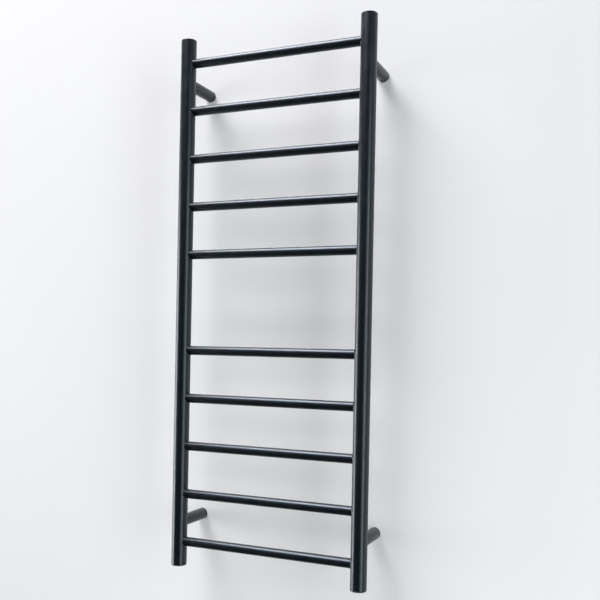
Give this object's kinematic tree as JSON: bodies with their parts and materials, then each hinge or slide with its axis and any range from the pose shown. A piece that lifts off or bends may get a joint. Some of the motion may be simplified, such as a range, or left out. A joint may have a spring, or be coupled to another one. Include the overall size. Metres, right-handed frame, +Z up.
{
  "type": "towel warmer rack",
  "caption": "Wall-hung round-tube ladder towel warmer: two posts, rungs in two banks with a gap between, standoffs on wall bosses, heating cable inside.",
  "frame": {"origin": "centre of the four wall bosses, on the wall plane", "axes": "+X to the right seen from the room, +Y into the wall, +Z up along the posts"},
  "size_m": [0.43, 0.1393, 1.1],
  "materials": {
    "powder_coat": "satin black textured powder coat on steel tube",
    "coated_zinc": "black coated zinc alloy",
    "zinc_plate": "bright zinc plate",
    "black_oxide": "black oxide",
    "grommet_rubber": "moulded matt",
    "silicone": "extruded silicone, soft sheen",
    "shrink_tube": "shrunk sleeve",
    "cutout_case": "moulded case",
    "tinned_copper": "tin plated"
  },
  "bodies": {
    "wall_fixings": {"upper_left_wall_boss": "coated_zinc", "upper_left_wall_screw": "zinc_plate", "upper_right_wall_boss": "coated_zinc", "upper_right_wall_screw": "zinc_plate", "lower_left_wall_boss": "coated_zinc", "lower_left_wall_screw": "zinc_plate", "lower_right_wall_boss": "coated_zinc", "lower_right_wall_screw": "zinc_plate", "cable_grommet": "grommet_rubber"},
    "rail": {"left_post": "powder_coat", "right_post": "powder_coat", "rung_01": "powder_coat", "rung_02": "powder_coat", "rung_03": "powder_coat", "rung_04": "powder_coat", "rung_05": "powder_coat", "rung_06": "powder_coat", "rung_07": "powder_coat", "rung_08": "powder_coat", "rung_09": "powder_coat", "rung_10": "powder_coat", "upper_left_end_cap": "powder_coat", "upper_left_standoff": "powder_coat", "upper_right_end_cap": "powder_coat", "upper_right_standoff": "powder_coat", "lower_left_end_cap": "powder_coat", "lower_left_standoff": "powder_coat", "lower_right_end_cap": "powder_coat", "lower_right_standoff": "powder_coat", "heating_cable": "silicone", "thermal_cutout": "cutout_case", "start_splice": "shrink_tube", "return_splice": "shrink_tube", "earth_lug": "tinned_copper", "earth_screw": "zinc_plate"},
    "upper_left_grub": {"upper_left_grub_screw": "black_oxide"},
    "upper_right_grub": {"upper_right_grub_screw": "black_oxide"},
    "lower_left_grub": {"lower_left_grub_screw": "black_oxide"},
    "lower_right_grub": {"lower_right_grub_screw": "black_oxide"}
  },
  "joints": [
    {"name": "rail_release", "type": "slide", "parent": "wall_fixings", "child": "rail", "axis": [0, -1, 0], "range_m": [0, 0.03]},
    {"name": "upper_left_grub_loosen", "type": "slide", "parent": "rail", "child": "upper_left_grub", "axis": [0, 0, -1], "range_m": [0, 0.002]},
    {"name": "upper_right_grub_loosen", "type": "slide", "parent": "rail", "child": "upper_right_grub", "axis": [0, 0, -1], "range_m": [0, 0.002]},
    {"name": "lower_left_grub_loosen", "type": "slide", "parent": "rail", "child": "lower_left_grub", "axis": [0, 0, -1], "range_m": [0, 0.002]},
    {"name": "lower_right_grub_loosen", "type": "slide", "parent": "rail", "child": "lower_right_grub", "axis": [0, 0, -1], "range_m": [0, 0.002]}
  ]
}
